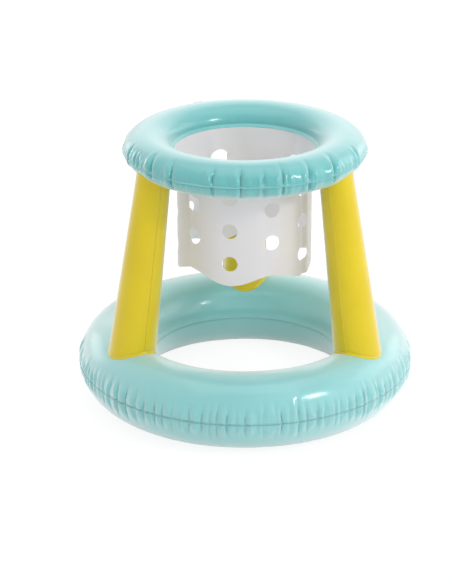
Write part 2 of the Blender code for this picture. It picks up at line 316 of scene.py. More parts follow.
# the base ring is the same film as the hoop, given a paler colour: a painted veil, reflected white light
# painted into its colour
veiledBaseLook = {
    **mintLook,
    "colour": (0.195, 0.548, 0.553),
    "deep": (0.172, 0.520, 0.524),
    "bloom": 0.9,
}
yellowLook = {
    **mintLook,
    "colour": (0.720, 0.555, 0.003),
    "deep": (0.690, 0.518, 0.002),
    "pale": (0.86, 0.72, 0.05),
    "weldHighlightShare": 0.7,
    "roughness": 0.36,
    "specular": 0.1,
    "coat": 0.6,
    "coatBend": 1.5,
    "bloom": 0.8,
    "bloomRoughness": 0.4,
}
vinylLook = {
    **mintLook,
    "colour": (0.735, 0.692, 0.714),
    "deep": (0.715, 0.674, 0.694),
    "pale": (0.78, 0.76, 0.77),
    "roughness": 0.42,
    "specular": 0.4,
    "coat": 0.0,
    "bloom": 0.2,
    "translucent": 0.6,
    "grainRoughness": 0.10,
    "peelScale": 160.0,
    "peelHeight": 0.10,
    "grainHeight": 0.06,
}
milkyLook = {
    **mintLook,
    "colour": (0.56, 0.66, 0.65),
    "deep": (0.52, 0.63, 0.62),
    "pale": (0.62, 0.72, 0.70),
    "roughness": 0.34,
    "coat": 0.4,
    "bloom": 0.2,
    "cloudScale": 60.0,
    "peelScale": 400.0,
    "grainScale": 2500.0,
}
finishes = {
    "mint_film": filmMaterial("mintFilm", mintLook),
    "base_film": filmMaterial("baseFilmPaintedVeil", veiledBaseLook),
    "yellow_film": filmMaterial("yellowFilm", yellowLook),
    "white_vinyl": filmMaterial("whiteVinyl", vinylLook),
    "valve_plastic": filmMaterial("milkyMoulding", milkyLook),
}
print("materials made")


# The rings. Creases run from the outer weld over the tube, each with its own place, depth, width, lean and
# reach: a valley with a ridge on one side and a low bank on the other, measured in widths of the crease.
crease = {
    "valleyPower": 1.3,
    "ridgePower": 2.0,
    "ridgeOff": 2.0,
    "ridgeWidth": 1.3,
    "bankOff": 2.2,
    "bankWidth": 1.6,
    "bankHeight": 0.22,
    "gatherWidth": 2.2,
    "start": (0.0, 0.007, 0.3, 1.0),
    "widthSpread": (-0.25, 0.3),
    "reachSpread": (-0.45, 0.1),
    "depthSpread": (-0.55, 0.1),
}


def creaseTree():
    # the result's X is how deep the film is pulled in, and its Y how far it is gathered towards the crease
    kinds = ["Turn", "Away", "Count", "Pitch", "Depth", "Width", "Reach", "Lean", "Wander", "Gather", "Ridge",
             "Ridge side", "Hold", "Vary", "Seed"]
    sizes = [(label, "NodeSocketFloat") for label in kinds]
    tree, ask = newTree("filmCreases", sizes, "Pull", "NodeSocketVector")
    place = ask["Turn"] * ask["Count"]
    cell = place.math("FLOOR")
    pull, gather = None, None

    def chance(number, low, high, salt):
        node = addNode(tree, "FunctionNodeRandomValue", {"Min": low, "Max": high, "ID": number,
                                                         "Seed": ask["Seed"] + salt}, data_type="FLOAT")
        return result(node)

    def bell(distance, power=crease["ridgePower"]):
        return (-(distance.absolute().math("POWER", power))).math("EXPONENT")

    for step in (-1, 0, 1):
        number = (cell + step).math("FLOORED_MODULO", ask["Count"]) + 0.5
        middle = cell + (step + 0.5) + chance(number, -1.0, 1.0, 1) * ask["Wander"]
        lean = (chance(number, -1.0, 1.0, 2) * ask["Vary"] + 1 - ask["Vary"]) * ask["Lean"]
        across = (place - middle) * ask["Pitch"] + lean * ask["Away"]
        width = ask["Width"] * (1 + chance(number, *crease["widthSpread"], 3) * ask["Vary"])
        reach = ask["Reach"] * (1 + chance(number, *crease["reachSpread"], 4) * ask["Vary"])
        depth = ask["Depth"] * (1 + chance(number, *crease["depthSpread"], 5) * ask["Vary"])
        valley = bell(across / width, crease["valleyPower"])
        aside = ask["Ridge side"] * width
        ridge = bell((across - aside * crease["ridgeOff"]) / (width * crease["ridgeWidth"]))
        bank = bell((across + aside * crease["bankOff"]) / (width * crease["bankWidth"]))
        fade = ask["Away"].ease(reach * ask["Hold"], reach, 1.0, 0.0) * ask["Away"].ease(*crease["start"])
        one = (valley - ridge * ask["Ridge"] - bank * crease["bankHeight"]) * fade * depth
        shift = across * bell(across / (width * crease["gatherWidth"])) * fade * ask["Gather"] * -1
        pull = one if pull is None else pull + one
        gather = shift if gather is None else gather + shift
    endTree(tree, result(addNode(tree, "ShaderNodeCombineXYZ", {"X": pull, "Y": gather})))
    return tree


# Shares run across the film, from the inner flange's edge to the outer one's. Creases can stay shorter near
# the legs, and a layer of creases is given by its lean, wander and part of the seed.
ringShape = {
    "innerShare": 0.12,
    "outerShare": 0.92,
    "innerFade": 0.98,
    "outerFade": 1.01,
    "legs": 3,
    "legTurn": math.radians(270),
    "legSpan": (0.66, 0.86),
    "legShortening": 0.6,
    "frontTurn": math.radians(90),
    "frontSpan": (0.0, 0.2),
    "foldLayer": (0.12, 0.3, 10),
    "puckerLayer": (0.2, 0.32, 20),
    "mergeDistance": 0.00002,
}


def ringTree(name, creases, ownFolds):
    # ownFolds are single creases at known azimuths: degrees, depth, width, reach and lean
    floats = ["Centre radius", "Middle height", "Half width", "Half height", "Inner flange", "Outer flange",
              "Flange slope", "Droop", "Lift", "Side", "Lowest", "Ripple", "Ripple scale", "Under legs",
              "Weld highlight", "Gather", "Ridge", "Ridge side", "Hold", "Plain front", "Folds", "Fold depth",
              "Fold width", "Fold reach", "Puckers", "Pucker depth", "Pucker width", "Pucker reach", "Seed"]
    sizes = [(label, "NodeSocketFloat") for label in floats]
    sizes += [("Around", "NodeSocketInt"), ("Across", "NodeSocketInt"), ("Film", "NodeSocketMaterial")]
    tree, ask = newTree(name, sizes, "Geometry")

    grid = addNode(tree, "GeometryNodeMeshGrid", {"Size X": 1.0, "Size Y": 1.0, "Vertices X": ask["Around"],
                                                  "Vertices Y": ask["Across"]})
    position = result(addNode(tree, "GeometryNodeInputPosition"))
    split = addNode(tree, "ShaderNodeSeparateXYZ", {"Vector": position})
    turn = result(split, "X") + 0.5
    over = result(split, "Y") + 0.5

    innerShare, outerShare = ringShape["innerShare"], ringShape["outerShare"]
    alongInner = over.ease(0.0, innerShare, 1.0, 0.0, "LINEAR") * ask["Inner flange"]
    alongOuter = over.ease(outerShare, 1.0, 0.0, 1.0, "LINEAR") * ask["Outer flange"]
    share = over.ease(innerShare, outerShare, 0.0, 1.0, "LINEAR")
    share = share - (share * math.tau).sin() * (0.5 / math.tau)
    roll = (1 - share) * math.pi
    away = roll * (ask["Half width"] + ask["Half height"]) * 0.5

    azimuth = turn * math.tau
    rim = ask["Centre radius"] + ask["Half width"]
    nearLeg = (azimuth * ringShape["legs"] - ringShape["legTurn"]).cos()
    nearLeg = nearLeg.ease(*ringShape["legSpan"]) * ask["Under legs"]

    def creaseLayer(count, depth, width, reach, lean, wander, salt, start=0.0, vary=1.0):
        # how deep this layer pulls the film in, and how far it gathers it along the ring
        values = {"Turn": turn - start, "Away": away, "Count": count, "Pitch": rim * math.tau / count,
                  "Depth": depth, "Width": width, "Reach": reach * (1 - nearLeg * ringShape["legShortening"]),
                  "Lean": lean, "Wander": wander, "Vary": vary, "Seed": ask["Seed"] + salt}
        values.update({label: ask[label] for label in ("Gather", "Ridge", "Ridge side", "Hold")})
        shift = result(addNode(tree, "GeometryNodeGroup", values, node_tree=creases))
        parts = addNode(tree, "ShaderNodeSeparateXYZ", {"Vector": shift})
        return result(parts, "X"), result(parts, "Y")

    # where the front's folds have their own places, the random ones stay away
    front = (azimuth + ringShape["frontTurn"]).cos().ease(*ringShape["frontSpan"]) * ask["Plain front"]
    layers = [creaseLayer(ask["Folds"], ask["Fold depth"] * (1 - front), ask["Fold width"], ask["Fold reach"],
                          *ringShape["foldLayer"]),
              creaseLayer(ask["Puckers"], ask["Pucker depth"], ask["Pucker width"], ask["Pucker reach"],
                          *ringShape["puckerLayer"])]
    for degrees, depth, width, reach, lean in ownFolds:
        start = degrees / 360 + 0.5
        layers.append(creaseLayer(1.0, depth, width, reach, lean, 0.0, 0, start=start, vary=0.0))
    pull = sum((layer[0] for layer in layers), 0.0)
    azimuth = azimuth + sum((layer[1] for layer in layers), 0.0) / rim

    ripple = noise(tree, ringSpot(tree, azimuth, rim, away * ask["Side"]), ask["Ripple scale"], 2.0)
    swell = (ripple - 0.5) * ask["Ripple"] * roll.sin() - pull

    flangeOut = alongInner * (ask["Flange slope"].cos() * -1) + alongOuter * ask["Droop"].cos()
    radius = rim - ask["Half width"] + roll.cos() * (ask["Half width"] + swell) + flangeOut
    bulge = ask["Lift"] + roll.sin() * (ask["Half height"] - ask["Lift"] + swell)
    height = ask["Middle height"] + ask["Side"] * bulge - alongInner * ask["Flange slope"].sin()
    height = height - alongOuter * ask["Droop"].sin()
    height = height.math("MAXIMUM", ask["Lowest"])
    spot = ringSpot(tree, azimuth, radius, height)
    shaped = addNode(tree, "GeometryNodeSetPosition", {"Geometry": result(grid, "Mesh"), "Position": spot})

    # how strongly the flanges are lightened by a painted highlight
    innerWeldHighlight = over.ease(innerShare * ringShape["innerFade"], innerShare, 1.0, 0.0, "LINEAR")
    outerWeldHighlight = over.ease(outerShare, outerShare * ringShape["outerFade"], 0.0, 1.0, "LINEAR")
    weldHighlight = innerWeldHighlight + outerWeldHighlight * ask["Weld highlight"]
    toned = addNode(tree, "GeometryNodeStoreNamedAttribute", {"Geometry": result(shaped), "Name": "weldHighlight",
                                                              "Value": weldHighlight})
    closed = addNode(tree, "GeometryNodeMergeByDistance", {"Geometry": result(toned),
                                                           "Distance": ringShape["mergeDistance"]})
    above = addNode(tree, "FunctionNodeCompare", {"A": ask["Side"], "B": 0.0}, operation="LESS_THAN")
    turned = addNode(tree, "GeometryNodeFlipFaces", {"Mesh": result(closed), "Selection": result(above)})
    return endGeometry(tree, result(turned), ask["Film"])


anyRing = {
    "Under legs": 0.0,
    "Gather": 0.5,
    "Ridge side": -1.0,
    "Around": 1601,
    "Across": 27,
}
baseRing = {
    **anyRing,
    "Centre radius": 0.2613,
    "Middle height": 0.073,
    "Half width": 0.0712,
    "Half height": 0.073,
    "Inner flange": 0.0022,
    "Outer flange": 0.0020,
    "Flange slope": math.radians(32),
    "Droop": 0.0,
    "Ripple": 0.0016,
    "Ripple scale": 9.0,
    "Weld highlight": 0.1,
    "Ridge": 0.85,
    "Hold": 0.4,
    "Plain front": 0.0,
    "Folds": 118.0,
    "Fold depth": 0.0046,
    "Fold width": 0.0048,
    "Fold reach": 0.041,
    "Puckers": 236.0,
    "Pucker depth": 0.0013,
    "Pucker width": 0.0028,
    "Pucker reach": 0.030,
    "Seed": 5.0,
}
hoopRing = {
    **anyRing,
    "Centre radius": 0.19135,
    "Middle height": 0.5152,
    "Half width": 0.04515,
    "Half height": 0.0348,
    "Inner flange": 0.0085,
    "Outer flange": 0.0038,
    "Flange slope": math.radians(35),
    "Droop": math.radians(38),
    "Ripple": 0.0008,
    "Ripple scale": 12.0,
    "Weld highlight": 1.4,
    "Ridge": 0.5,
    "Hold": 0.3,
    "Plain front": 1.0,
    "Folds": 36.0,
    "Fold depth": 0.0050,
    "Fold width": 0.0044,
    "Fold reach": 0.032,
    "Puckers": 150.0,
    "Pucker depth": 0.0011,
    "Pucker width": 0.0026,
    "Pucker reach": 0.026,
    "Seed": 8.0,
}

# the hoop's front folds: azimuth in degrees, depth, width, reach and lean
hoopFolds = [
    (-160.7, 0.0055, 0.0040, 0.036, 0.34),
    (-152.5, 0.0040, 0.0036, 0.032, 0.32),
    (-149.6, 0.0035, 0.0034, 0.030, 0.32),
    (-139.0, 0.0080, 0.0054, 0.044, 0.28),
    (-125.7, 0.0072, 0.0054, 0.040, 0.20),
    (-105.0, 0.0070, 0.0056, 0.044, 0.02),
    (-91.8, 0.0085, 0.0058, 0.046, 0.02),
    (-81.2, 0.0060, 0.0050, 0.038, -0.05),
    (-72.6, 0.0085, 0.0056, 0.048, -0.10),
    (-69.8, 0.0040, 0.0040, 0.036, -0.10),
    (-59.1, 0.0080, 0.0056, 0.048, -0.18),
    (-44.7, 0.0095, 0.0058, 0.048, -0.27),
    (-24.3, 0.0060, 0.0046, 0.040, -0.32),
]


# The valves' frames: Z along the slide, X towards the tether's hinge, and the start on the film. The film is
# level within the seat, and past it may rise by the slope, or drop by the first share and ever faster. The
# flange's profile is radius and share of its thickness, and the cap's recess is two radii and a depth.
jointByName = {joint["name"]: joint for joint in frame["joints"]}
valve = {
    "pivotReach": 0.0102,
    "pivotHeight": 0.00235,
    "seatRadius": 0.0155,
    "seatSlope": 0.16,
    "seatDrop": (0.6, 60.0),
    "seatSpan": (0.05, 0.02),
    "filmHole": 0.0059,
    "filmHoleReach": 0.01,
    "flangeThickness": 0.0008,
    "flangeProbe": 0.006,
    "flangeProfile": ((0.0053, 0.0), (0.0053, 0.6), (0.0056, 0.9), (0.0062, 1.0), (0.0090, 1.0),
                      (0.0112, 1.0), (0.0116, 1.0), (0.0121, 1.0), (0.0126, 1.0), (0.0130, 0.85),
                      (0.0142, 0.75), (0.0148, 0.55), (0.0150, 0.3), (0.0150, 0.0), (0.0120, 0.0),
                      (0.0090, 0.0), (0.0070, 0.0)),
    "stemRadius": 0.005,
    "stemBore": 0.0034,
    "stemEnd": -0.0139,
    "collarRadius": 0.0062,
    "collarLow": 0.0014,
    "collarTop": 0.0022,
    "lugSink": 0.0004,
    "tetherWidth": 0.004,
    "strapThickness": 0.0008,
    "overlap": 0.00002,
    "capRadius": 0.0058,
    "capLow": 0.0025,
    "capTop": 0.0037,
    "capRecess": (0.0038, 0.0034, 0.0003),
    "plugRadius": 0.0030,
    "plugTip": 0.0022,
    "plugEnd": -0.0010,
    "tabEnd": 0.0098,
    "flapRadius": 0.0045,
    "flapTop": -0.0142,
    "flapThickness": 0.0004,
    "stemSoftness": 0.0002,
    "capSoftness": 0.00025,
    "flapSoftness": 0.00012,
    "sharpEdge": 50,
}


def valveFrame(prefix):
    axis = Vector(jointByName[prefix + "_stem_pull"]["axis"]).normalized()
    hinge = Vector(jointByName[prefix + "_stopper_hinge"]["axis"]).normalized()
    pivot = Vector(jointByName[prefix + "_stopper_hinge"]["pos_m"])
    along = hinge.cross(axis)
    start = pivot - along * valve["pivotReach"] - axis * valve["pivotHeight"]
    place = Matrix((along, hinge, axis)).transposed().to_4x4()
    place.translation = start
    return place


def seatValve(skin, place):
    # the film is drawn flat under the valve's welded flange, and no crease runs under it
    inward = place.inverted()
    drop, curve = valve["seatDrop"]
    widest, deepest = valve["seatSpan"]
    for vertex in skin.data.vertices:
        spot = inward @ vertex.co
        out = math.hypot(spot.x, spot.y)
        if out > widest or abs(spot.z) > deepest:
            continue
        beyond = max(out - valve["seatRadius"], 0)
        level = min(max(spot.z, -beyond * (drop + beyond * curve)), beyond * valve["seatSlope"])
        if level != spot.z:
            spot.z = level
            vertex.co = place @ spot


def rod(name, place, reach, radius):
    # a round cutter that stands as far above its place as below it
    shape = bmesh.new()
    bmesh.ops.create_cone(shape, cap_ends=True, segments=48, radius1=radius, radius2=radius, depth=2 * reach)
    bmesh.ops.transform(shape, matrix=place, verts=shape.verts)
    return pieceFromShape(name, shape)


# each ring's tree, sizes, finish, and the sizes that differ in its lower film
filmCreases = creaseTree()
ringKinds = {
    "base": (ringTree("inflatedBase", filmCreases, []), baseRing, "base_film",
             {"Half height": 0.0745, "Lowest": 0.0, "Outer flange": 0.0016, "Fold reach": 0.034}),
    "hoop": (ringTree("inflatedHoop", filmCreases, hoopFolds), hoopRing, "mint_film",
             {"Under legs": 1.0, "Outer flange": 0.0024}),
}
ringFilms = {}
for title, (tree, sizes, finish, lowerSizes) in ringKinds.items():
    for part, side, changes in (("upper", 1.0, {}), ("lower", -1.0, lowerSizes)):
        name = f"{title}Ring{part.title()}Film"
        piece = newPiece(name, bpy.data.meshes.new(name))
        addTree(piece, tree, {**sizes, "Side": side, "Lift": film["lift"], "Lowest": -1.0,
                              "Film": finishes[finish], **changes})
        ringFilms[f"{title}_ring_{part}_panel"] = bake(piece)
valvePlaces = {"base": valveFrame("base"), "hoop": valveFrame("hoop")}
for ringName, place in valvePlaces.items():
    seatValve(ringFilms[ringName + "_ring_upper_panel"], place)
ringSkins = {}
for node, piece in ringFilms.items():
    shape = bmesh.new()
    shape.from_mesh(piece.data)
    ringSkins[node] = BVHTree.FromBMesh(shape)
    shape.free()
legSkins = (ringSkins["base_ring_upper_panel"], ringSkins["hoop_ring_lower_panel"])
print("rings shaped")


# Legs: two tapered films each, welded along both sides, lipped onto a disc at each end. A lip's shares run
# from the wall to the edge, and rayReach is how far past its ends the wall is followed to meet the rings.
leg = {
    "azimuths": {"back_leg": 90, "left_leg": 210, "right_leg": 330},
    "footCircle": 0.2535,
    "footHeight": 0.146,
    "headCircle": 0.2035,
    "headHeight": 0.4812,
    "footRadius": 0.0462,
    "headRadius": 0.0335,
    "footLip": 0.0072,
    "headLip": 0.0024,
    "footFlare": 0.0012,
    "headFlare": 0.0008,
    "flareHeight": 0.010,
    "footShares": (1.0, 0.6, 0.25, 0.0),
    "headShares": (0.0, 0.5, 1.0),
    "lipCurl": 0.0009,
    "lipFin": 0.3,
    "rises": (0.0006, 0.0018, 0.0035, 0.006, 0.009),
    "endReach": 0.012,
    "rayReach": (-0.06, 0.05),
    "steepest": 0.4,
    "groove": 0.0013,
    "grooveHeight": 0.0032,
    "grooveWidth": 0.0016,
    "fin": 0.0010,
    "lastTurn": 89,
    "discRim": 0.0004,
    "discRings": 11,
    "discSides": 96,
    "ventRadius": 0.006,
    "ventReach": 0.012,
    "columns": 64,
    "rows": 60,
}


class LegFrame:
    # one leg's axis, from its foot on the base ring to its head under the hoop ring
    def __init__(self, azimuth):
        turn = Matrix.Rotation(math.radians(azimuth), 3, "Z")
        self.foot = turn @ Vector((leg["footCircle"], 0, leg["footHeight"]))
        self.head = turn @ Vector((leg["headCircle"], 0, leg["headHeight"]))
        self.along = (self.head - self.foot).normalized()
        self.level = turn @ Vector((0, 1, 0))
        self.out = self.level.cross(self.along)
        self.length = (self.head - self.foot).length

    def radius(self, reach):
        return leg["footRadius"] + (leg["headRadius"] - leg["footRadius"]) * reach / self.length

    def point(self, reach, angle, extra=0.0, shift=0.0):
        # shift moves the point square to the seam plane, away from the other film
        size = self.radius(reach) + extra
        side = self.out * (math.cos(angle) * size + shift) + self.level * (math.sin(angle) * size)
        return self.foot + self.along * reach + side

    def ends(self, angle):
        # where the leg's wall meets the two rings
        start = self.point(self.length / 2, angle)
        found = []
        for skin, far in zip(legSkins, (leg["rayReach"][0], self.length + leg["rayReach"][1])):
            aim = (self.point(far, angle) - start).normalized()
            hit = skin.ray_cast(start, aim)
            reach = (hit[0] - self.foot).dot(self.along)
            found.append((reach, hit[1].normalized()))
        return found


def legHalf(name, legFrame, side):
    # side 1 is the outer film and side -1 the inner one
    lipLift = 2 * film["layer"]
    middle = 0.0 if side > 0 else math.pi
    count, last = leg["columns"], leg["lastTurn"]
    columns = [(-90, leg["fin"]), (-90, leg["fin"] * 0.5), (-90, 0.0)]
    columns += [(2 * last * i / count - last, 0.0) for i in range(count + 1)]
    columns += [(90, 0.0), (90, leg["fin"] * 0.5), (90, leg["fin"])]
    points = []
    for degrees, fin in columns:
        angle = middle + math.radians(degrees)
        shift = side * film["lift"] if abs(degrees) == 90 else 0.0
        (low, lowNormal), (high, highNormal) = legFrame.ends(angle)

        def lip(skin, reach, flare, edge, shares, curl):
            # the wall's end, bent outward and pressed to the ring's skin
            found = []
            for share in shares:
                extra = flare + (edge - flare) * share + fin * leg["lipFin"]
                spot, normal = skin.find_nearest(legFrame.point(reach, angle, extra, shift))[:2]
                found.append(spot + normal * (lipLift + curl * share))
            return found

        start = low + lipLift / max(abs(lowNormal.dot(legFrame.along)), leg["steepest"])
        stop = high - lipLift / max(abs(highNormal.dot(legFrame.along)), leg["steepest"])
        column = lip(legSkins[0], low, leg["footFlare"], leg["footLip"], leg["footShares"], leg["lipCurl"])
        for rise in leg["rises"]:
            extra = leg["footFlare"] * (1 - rise / leg["flareHeight"]) ** 3
            extra -= leg["groove"] * math.exp(-((rise - leg["grooveHeight"]) / leg["grooveWidth"]) ** 2)
            column.append(legFrame.point(start + rise, angle, extra + fin, shift))
        bottom, top = start + leg["endReach"], stop - leg["endReach"]
        for i in range(leg["rows"] + 1):
            column.append(legFrame.point(bottom + (top - bottom) * i / leg["rows"], angle, fin, shift))
        for rise in leg["rises"][::-1]:
            extra = leg["headFlare"] * (1 - rise / leg["flareHeight"]) ** 3
            column.append(legFrame.point(stop - rise, angle, extra + fin, shift))
        column += lip(legSkins[1], high, leg["headFlare"], leg["headLip"], leg["headShares"], 0.0)
        points += column
    rows = len(column)
    piece = pieceFromFaces(name, points, gridFaces(len(columns), rows, ringed=False))
    # the fins and both lips get the painted highlight, a paler colour, as the rings' flanges do
    weldHighlight = piece.data.attributes.new("weldHighlight", "FLOAT", "POINT")
    lipped = [j < len(leg["footShares"]) or j >= rows - len(leg["headShares"]) for j in range(rows)]
    weldHighlight.data.foreach_set("value", [float(fin > 0 or onLip) for degrees, fin in columns for onLip in lipped])
    thicken(piece, film["thickness"])
    return bake(piece)


def endDisc(name, legFrame, skin, aim, radius, hole=0):
    # a film disc laid on the ring and pressed to its skin, which lies along aim from the leg's middle
    rings, sides = leg["discRings"], leg["discSides"]
    points = []
    for i in range(rings):
        out = hole + (radius - hole) * i / (rings - 1)
        for j in range(sides):
            angle = math.tau * j / sides
            side = legFrame.out * (math.cos(angle) * out) + legFrame.level * (math.sin(angle) * out)
            start = legFrame.foot + legFrame.along * (legFrame.length / 2) + side
            hit = skin.ray_cast(start, aim)
            points.append(hit[0] + hit[1].normalized() * film["layer"])
    faces = gridFaces(rings, sides)
    if hole == 0:
        # the innermost ring is one point
        points = points[sides - 1:]
        faces = [(0, 1 + j, 1 + (j + 1) % sides) for j in range(sides)]
        faces += [tuple(1 + corner for corner in face) for face in gridFaces(rings - 1, sides)]
    piece = pieceFromFaces(name, points, faces)
    if piece.data.polygons[0].normal.dot(skin.find_nearest(points[0])[1]) < 0:
        piece.data.flip_normals()
    thicken(piece, film["thickness"])
    return bake(piece)


ventRods = []
for legName, azimuth in leg["azimuths"].items():
    legFrame = LegFrame(azimuth)
    title = legName.split("_")[0]
    for half, side in (("outer", 1), ("inner", -1)):
        piece = legHalf(f"{title}Leg{half.title()}Film", legFrame, side)
        finishPiece(piece, f"{legName}_{half}_panel", "yellow_film")
    foot = endDisc(f"{title}LegFootDisc", legFrame, legSkins[0], -legFrame.along,
                   leg["footRadius"] + leg["footLip"] + leg["discRim"])
    finishPiece(foot, f"{legName}_foot_disc", "yellow_film")
    head = endDisc(f"{title}LegHeadDisc", legFrame, legSkins[1], legFrame.along,
                   leg["headRadius"] + leg["headLip"], leg["ventRadius"])
    finishPiece(head, f"{legName}_head_disc", "yellow_film")
    place = Matrix((legFrame.out, legFrame.level, legFrame.along)).transposed().to_4x4()
    place.translation = legFrame.head
    ventRods.append(rod(f"{title}Vent", place, leg["ventReach"], leg["ventRadius"]))
print("legs made")

# The rings get their film's thickness, and the holes for the valves and the legs' vents
ringCuts = {"hoop_ring_lower_panel": ventRods}
for title, place in valvePlaces.items():
    hole = rod(title + "FilmHole", place, valve["filmHoleReach"], valve["filmHole"])
    ringCuts[title + "_ring_upper_panel"] = [hole]
for node, piece in ringFilms.items():
    thicken(piece, film["thickness"], even=False)
    cut(piece, ringCuts.get(node, []))
    finishPiece(piece, node, "mint_film")
print("rings finished")


# Net: a collar welded under the hoop's inner flange, a folded wall and a scalloped hem, punched with holes.
# A pleat is azimuth in degrees, depth and spread in degrees, and its bank a share of the depth, and a way off
# and a width in spreads. The flat strip has flatRadius's girth, and is flatTrim shorter than the hem's drop.
net = {
    "thickness": 0.0004,
    "collarStart": 0.0015,
    "collarEnd": 0.0075,
    "wallRadius": 0.1322,
    "collarShare": 0.06,
    "shoulderShare": 0.26,
    "shoulderPower": 1.7,
    "waistDrop": 0.060,
    "hemDrop": 0.2316,
    "scallop": 0.0104,
    "scallops": 5,
    "foldDepth": 0.0014,
    "folds": 7,
    "foldTurn": math.radians(136),
    "swayDepth": 0.0012,
    "sways": 4,
    "swayTurn": math.radians(200),
    "pleats": ((-29.5, 0.0036, 2.6), (-145, 0.0022, 4.0), (-71, 0.0016, 6.0), (38, 0.003, 3.0),
               (118, 0.0028, 3.5), (164, 0.0032, 2.8), (82, 0.0015, 6.0)),
    "pleatBank": (0.5, 2, 1.4),
    "firstColumn": math.radians(-103),
    "flatRadius": 0.1345,
    "flatTrim": 0.004,
    "around": 360,
    "rows": 64,
}
netHoles = {
    "Columns": 10,
    "Rows": 3,
    "First column": net["firstColumn"],
    "Wall radius": 0.1312,
    "Top height": hoopRing["Middle height"] - 0.0617,
    "Pitch": 0.0673,
    "Stagger": 0.0245,
    "Hole radius": 0.0152,
    "Punch depth": 0.03,
    "Sides": 44,
}


def netPoint(azimuth, share):
    # share 0 is the collar's upper edge, and 1 the hem
    slope = hoopRing["Flange slope"]
    seam = hoopRing["Centre radius"] - hoopRing["Half width"]
    under = -(film["gap"] / 2 + film["layer"])
    collarShare, shoulderShare = net["collarShare"], net["shoulderShare"]
    middle = hoopRing["Middle height"]
    waist = middle - net["waistDrop"]
    hem = middle - net["hemDrop"]

    def onFlange(along):
        radius = seam - math.cos(slope) * along + math.sin(slope) * under
        return radius, middle - math.sin(slope) * along + math.cos(slope) * under

    if share <= collarShare:
        along = net["collarStart"] + (net["collarEnd"] - net["collarStart"]) * share / collarShare
        return polar(azimuth, *onFlange(along))
    topRadius, topHeight = onFlange(net["collarEnd"])
    if share <= shoulderShare:
        t = (share - collarShare) / (shoulderShare - collarShare)
        height = topHeight + (waist - topHeight) * t
        radius = topRadius + (net["wallRadius"] - topRadius) * (1 - (1 - t) ** net["shoulderPower"])
        hang = 0.0
        swing = t * t * (3 - 2 * t)
    else:
        hang = (share - shoulderShare) / (1 - shoulderShare)
        height = waist + (hem - waist) * hang
        radius = net["wallRadius"]
        swing = 1.0
    fold = net["foldDepth"] * math.cos(net["folds"] * (azimuth - net["foldTurn"]))
    sway = net["swayDepth"] * math.cos(net["sways"] * (azimuth - net["swayTurn"]))
    pull = 0.0
    bankShare, bankOff, bankWidth = net["pleatBank"]
    for turn, depth, spread in net["pleats"]:
        apart = (math.degrees(azimuth) - turn + 180) % 360 - 180
        bank = math.exp(-((apart - spread * bankOff) / spread / bankWidth) ** 2)
        pull += depth * (math.exp(-(apart / spread) ** 2) - bankShare * bank)
    radius += (fold + sway - pull) * swing
    height -= net["scallop"] * math.cos(net["scallops"] * (azimuth - net["firstColumn"])) * hang
    return polar(azimuth, radius, height)


def punchTree():
    sizes = [("Geometry", "NodeSocketGeometry"), ("Columns", "NodeSocketInt"), ("Rows", "NodeSocketInt"),
             ("Sides", "NodeSocketInt"), ("Vinyl", "NodeSocketMaterial")]
    sizes += [(name, "NodeSocketFloat") for name in ("First column", "Wall radius", "Top height", "Pitch",
                                                     "Stagger", "Hole radius", "Punch depth")]
    tree, ask = newTree("punchedHoles", sizes, "Geometry")
    points = addNode(tree, "GeometryNodePoints", {"Count": ask["Columns"] * ask["Rows"]})
    number = result(addNode(tree, "GeometryNodeInputIndex"))
    column = (number / ask["Rows"]).math("FLOOR")
    row = number.math("FLOORED_MODULO", ask["Rows"])
    short = column.math("FLOORED_MODULO", 2.0)
    turn = ask["First column"] + column * math.tau / ask["Columns"]
    height = ask["Top height"] - short * ask["Stagger"] - row * ask["Pitch"]
    spread = addNode(tree, "GeometryNodeSetPosition", {
        "Geometry": result(points), "Position": ringSpot(tree, turn, ask["Wall radius"], height)})
    # every second column is one hole shorter
    extra = (row + short).math("GREATER_THAN", ask["Rows"] - 0.5)
    kept = addNode(tree, "GeometryNodeDeleteGeometry", {"Geometry": result(spread), "Selection": extra},
                   domain="POINT")
    outward = ringSpot(tree, turn, 1.0, 0.0)
    facing = addNode(tree, "FunctionNodeAlignRotationToVector", {"Vector": outward}, axis="Z")
    punch = addNode(tree, "GeometryNodeMeshCylinder", {"Vertices": ask["Sides"], "Radius": ask["Hole radius"],
                                                       "Depth": ask["Punch depth"]})
    punches = addNode(tree, "GeometryNodeInstanceOnPoints", {"Points": result(kept),
                                                             "Instance": result(punch, "Mesh"),
                                                             "Rotation": result(facing)})
    solids = addNode(tree, "GeometryNodeRealizeInstances", {"Geometry": result(punches)})
    punched = addNode(tree, "GeometryNodeMeshBoolean", operation="DIFFERENCE", solver="MANIFOLD")
    tree.links.new(ask["Geometry"].socket, punched.inputs[0])
    tree.links.new(result(solids).socket, punched.inputs[1])
    return endGeometry(tree, result(punched, "Mesh"), ask["Vinyl"])


def makeNet():
    around, rows = net["around"], net["rows"]
    points = [netPoint(math.tau * i / around, j / rows) for j in range(rows + 1) for i in range(around)]
    piece = pieceFromFaces("punchedNet", points, gridFaces(rows + 1, around))
    outward = piece.data.polygons[around * rows // 2]
    if outward.normal.dot(Vector((outward.center.x, outward.center.y, 0))) < 0:
        piece.data.flip_normals()
    thicken(piece, net["thickness"])
    addTree(piece, punchTree(), {**netHoles, "Vinyl": finishes["white_vinyl"]})
    bake(piece)
    length = net["hemDrop"] - net["flatTrim"]
    width = math.tau * net["flatRadius"]
    holes = netHoles["Columns"] * netHoles["Rows"] - netHoles["Columns"] // 2
    punchedArea = math.pi * netHoles["Hole radius"] ** 2 * holes
    finishPiece(piece, "net", "white_vinyl")
    width * length - punchedArea


makeNet()
print("net punched")


